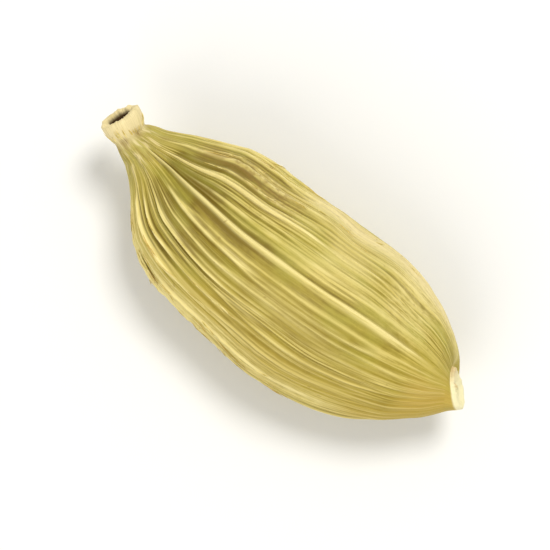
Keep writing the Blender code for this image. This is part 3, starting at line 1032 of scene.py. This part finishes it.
def skin_material():
    """Dry plant skin: painted shade in olive valleys, painted highlight on straw crests, and what the
    masks add.
    """
    material = bpy.data.materials.new("pod_skin")
    nodes = Nodes(material)
    grain = nodes.mask("grain", "Vector")
    grains = {}
    for kind, (along, around, detail, roughness) in GRAIN_NOISES.items():
        grains[kind] = nodes.noise(grain, (along, around, around), detail, roughness)

    # The cavity mask paints shade into the valleys and highlight onto the crests.
    level = nodes.mask("cavity")
    for kind, swing in LEVEL_SWINGS:
        level = nodes.math("ADD", level, nodes.about(grains[kind], swing))
    # The painted shade mask darkens the level, and lightens it where it is below 0.
    level = nodes.math("SUBTRACT", level, nodes.math("MULTIPLY", nodes.mask("painted_shade"), LEVEL_PAINTED_SHADE))
    colour = VALLEY_SHADE
    for low, high, tint in LEVEL_COLOURS:
        colour = nodes.mix(nodes.remap(level, low, high), colour, tint)
    for coat in COATS:
        colour = coated(nodes, grains, colour, coat)
    colour = nodes.mix(nodes.math("MULTIPLY", nodes.mask("scar"), SCAR_SHARE), colour, SCAR)
    colour = coated(nodes, grains, colour, FACE_COAT)
    # The stalk's hollow: its brown inside and painted shade, deeper in.
    colour = nodes.mix(nodes.mask("hollow"), colour, HOLLOW_BROWN_AND_SHADE)

    roughness = nodes.remap(grains["streaks"], *SKIN_ROUGHNESS)
    flecks = nodes.math("MULTIPLY", grains["flecks"], SKIN_BUMP_FLECKS)
    height = nodes.math("ADD", grains["fibres"], flecks)
    nodes.finish(colour, roughness, SKIN_SPECULAR, height, SKIN_BUMP)
    return material


def sliver_material():
    """Pale dry husk, streaked along its length."""
    material = bpy.data.materials.new("husk_sliver")
    nodes = Nodes(material)
    place = nodes.add("ShaderNodeTexCoord").outputs["Object"]
    streaks = nodes.noise(place, (2.0 / MM, 6.0 / MM, 6.0 / MM), 2.0, 0.6)
    blotches = nodes.noise(place, (0.9 / MM, 0.9 / MM, 0.9 / MM))
    colour = nodes.mix(nodes.remap(streaks, 0.35, 0.65), FLAT, CREST)
    colour = nodes.mix(nodes.remap(blotches, 0.45, 0.65, 0.0, 0.6), colour, TAN)
    nodes.finish(colour, nodes.remap(streaks, *HUSK_ROUGHNESS), HUSK_SPECULAR, streaks, HUSK_BUMP)
    return material


class Skin:
    """The finished grid of the skin, for laying slivers on it."""

    def __init__(self, points, along, angles):
        self.points = points
        self.along = along
        self.angles = angles

    def column(self, x, degrees):
        """Grid column nearest to an angle round the pod."""
        row = np.searchsorted(self.along, x)
        return int(np.argmax(np.cos(self.angles[row] - math.radians(degrees))))

    def at(self, x, column):
        """Point of the skin and its outward direction."""
        row = int(np.clip(np.searchsorted(self.along, x), STALK_ROWS + 2, len(self.along) - SCAR_ROWS))
        share = (x - self.along[row - 1]) / (self.along[row] - self.along[row - 1])
        share = float(np.clip(share, 0.0, 1.0))
        column = int(round(column)) % COLUMNS
        point = self.points[row - 1, column] * (1.0 - share) + self.points[row, column] * share
        before, after = column - SLOPE_REACH, (column + SLOPE_REACH) % COLUMNS
        around = self.points[row, after] - self.points[row, before]
        forward = self.points[row + SLOPE_REACH, column] - self.points[row - SLOPE_REACH, column]
        out = np.cross(around, forward)
        return point, out / np.linalg.norm(out)


def smooth_path(places, count):
    """So many points of a smooth curve through the places."""
    places = np.array(places)
    padded = np.concatenate([2.0 * places[:1] - places[1:2], places, 2.0 * places[-1:] - places[-2:-1]])
    steps = np.linspace(0.0, len(places) - 1.0, count)
    index = np.minimum(steps.astype(int), len(places) - 2)
    t = (steps - index)[:, None]
    p0, p1, p2, p3 = (padded[index + step] for step in range(4))
    curve = 2.0 * p1 + (p2 - p0) * t + (2.0 * p0 - 5.0 * p1 + 4.0 * p2 - p3) * t * t
    return 0.5 * (curve + (3.0 * p1 - p0 - 3.0 * p2 + p3) * t ** 3)


def sliver(mesh, skin, route):
    """Adds a closed flat strip along a route of (x, grid column, lift, half width) on the skin."""
    low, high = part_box(NODE)
    places = [skin.at(x, column) for x, column, _, _ in route]
    centres = [point + out * place[2] * MM for (point, out), place in zip(places, route)]
    count = SLIVER_ROWS * (len(route) - 1) + 1
    centres = smooth_path(centres, count)
    if centres[:, Z].min() < low[Z] + SLIVER_FLOOR_GAP * MM:
        return
    outs = smooth_path([out for _, out in places], count)
    widths = smooth_path([[place[3] * MM] for place in route], count)[:, 0]
    forward = np.gradient(centres, axis=0)
    across = np.cross(forward, outs)
    across /= np.linalg.norm(across, axis=-1, keepdims=True)
    up = np.cross(across, forward)
    up /= np.linalg.norm(up, axis=-1, keepdims=True)
    rings = []
    for centre, side, top, width in zip(centres, across, up, widths):
        width = max(width, SLIVER_LEAST * MM)
        height = min(SLIVER_THICKNESS * MM, width)
        turns = [2.0 * math.pi * step / SLIVER_SIDES for step in range(SLIVER_SIDES)]
        ring = [centre + side * width * math.cos(turn) + top * height * math.sin(turn) for turn in turns]
        rings.append([mesh.verts.new(np.clip(point, low, high)) for point in ring])
    for ring, after in zip(rings, rings[1:]):
        for side in range(SLIVER_SIDES):
            beside = (side + 1) % SLIVER_SIDES
            mesh.faces.new((ring[side], ring[beside], after[beside], after[side]))
    mesh.faces.new(rings[0][::-1])
    mesh.faces.new(rings[-1])


def fibre(mesh, skin, route, x, column, sizes):
    """Adds a fibre from a place on the skin along a route given in shares."""
    length, width, lean, tip = sizes
    sliver(mesh, skin, [
        (x + part * length, column + bend * lean, lift + rise * tip, share * width)
        for part, bend, lift, rise, share in route
    ])


def add_slivers(skin):
    """One peeled strip, and frayed fibres on the ribs and round the stalk."""
    mesh = bmesh.new()
    draw = random.Random(SLIVER_SEED)
    start = skin.column(PEELED_STRIP[0][0], PEELED_ANGLE)
    sliver(mesh, skin, [(x, start, lift, width) for x, lift, width in PEELED_STRIP])
    for degrees, spread, first, last, count in FRAYED_PLACES:
        for _ in range(count):
            x = draw.uniform(first, last)
            column = skin.column(x, degrees + draw.uniform(-spread, spread))
            crest = RIB_COLUMNS * round(column / RIB_COLUMNS)
            column = crest + draw.uniform(-CREST_OFF, CREST_OFF)
            fibre(mesh, skin, FRAYED_ROUTE, x, column, [draw.uniform(*limits) for limits in FRAYED_LIMITS])
    for step in range(STALK_FIBRES):
        column = COLUMNS * (step + draw.uniform(-STALK_OFF, STALK_OFF)) / STALK_FIBRES
        sizes = [draw.uniform(*limits) for limits in STALK_LIMITS]
        fibre(mesh, skin, STALK_ROUTE, STALK_FOOT, column, sizes)
    bmesh.ops.recalc_face_normals(mesh, faces=mesh.faces)
    data = bpy.data.meshes.new("husk_slivers")
    mesh.to_mesh(data)
    mesh.free()
    data.shade_smooth()
    data.materials.append(sliver_material())
    piece = add_object("husk_slivers", data)
    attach(piece, "root")


def add_floor():
    half, drop = 0.8, -0.02 * MM
    data = bpy.data.meshes.new("floor")
    corners = [(-half, -half, drop), (half, -half, drop), (half, half, drop), (-half, half, drop)]
    data.from_pydata(corners, [], [(0, 1, 2, 3)])
    floor = add_object("floor", data)
    material = bpy.data.materials.new("floor")
    nodes = Nodes(material)
    nodes.set_all(nodes.shader, {"Base Color": (0.88, 0.88, 0.87, 1.0), "Roughness": 0.9})
    data.materials.append(material)


def add_softbox(name, place, size, watts, colour):
    """Round soft light at a place, turned to the pod."""
    light = bpy.data.lights.new(name, "AREA")
    light.shape = "DISK"
    light.size = size
    light.energy = watts
    light.color = colour
    lamp = add_object(name, light)
    lamp.location = place
    lamp.rotation_euler = (-place).to_track_quat("-Z", "Y").to_euler()


def add_lights():
    """White surroundings and the soft lights."""
    world = bpy.data.worlds.new("studio")
    world.use_nodes = True
    background = world.node_tree.nodes["Background"]
    background.inputs["Color"].default_value = (1.0, 0.99, 0.97, 1.0)
    background.inputs["Strength"].default_value = SURROUNDINGS
    bpy.context.scene.world = world
    right = Vector((math.cos(PICTURE_TURN), math.sin(PICTURE_TURN), 0.0))
    up = Vector((-right.y, right.x, 0.0))
    to_right, to_top = LIGHT_SIDE
    towards = (right * to_right + up * to_top).normalized()
    for name, distance, height, size, watts, colour in LIGHTS:
        add_softbox(name, towards * distance + Vector((0.0, 0.0, height)), size, watts, colour)


def add_camera():
    data = bpy.data.cameras.new("camera")
    data.lens = LENS
    data.sensor_width = SENSOR
    data.clip_start = 0.01
    data.clip_end = 10.0
    camera = add_object("camera", data)
    low, high = CAD_BOUNDS
    camera.location = (low + high) * 0.5 + Vector((0.0, 0.0, FRAME_WIDTH * LENS / SENSOR))
    camera.rotation_euler = (0.0, 0.0, PICTURE_TURN)
    bpy.context.scene.camera = camera


def dress():
    points, masks, grain, along, angles = build_skin()
    low, high = (np.array(corner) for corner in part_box(NODE))
    points = fitted(points, low, high)
    piece = make_mesh("pod_skin", points, masks, grain)
    add_slivers(Skin(points, along, angles))
    piece.data.materials.append(skin_material())
    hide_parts(NODE)
    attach(piece, "root")


bpy.context.scene.view_settings.view_transform = "Standard"
add_camera()
add_floor()
add_lights()
dress()
